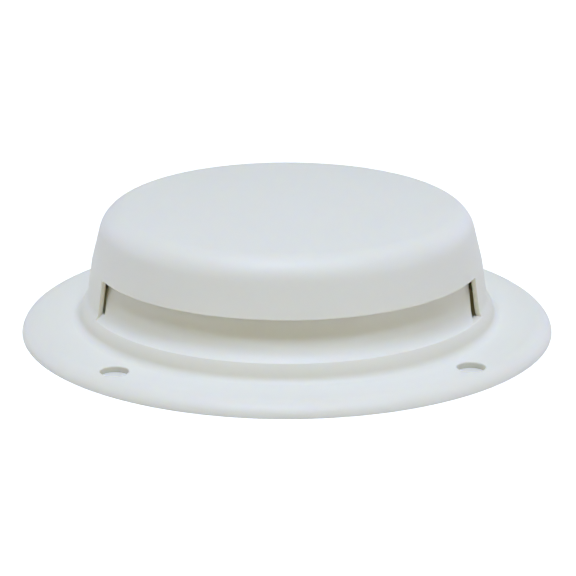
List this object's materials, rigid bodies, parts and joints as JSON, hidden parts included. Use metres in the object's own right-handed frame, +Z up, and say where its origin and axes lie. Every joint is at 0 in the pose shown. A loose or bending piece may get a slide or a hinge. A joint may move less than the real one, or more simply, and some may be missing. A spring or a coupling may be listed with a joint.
{
  "type": "mushroom roof vent cap",
  "caption": "Round one-piece plastic roof vent: flat flange with screw holes, raised shoulder, and a domed cap on legs over baffled vent slots.",
  "frame": {"origin": "centre of the circle on which the rim of the flange stands", "axes": "+Z up along the axis of the cap, -Y through the middle of the front slot, +X towards a leg"},
  "size_m": [0.15, 0.15, 0.0366],
  "materials": {
    "white_plastic": "satin"
  },
  "bodies": {
    "root": {"vent_body": "white_plastic"}
  },
  "joints": []
}
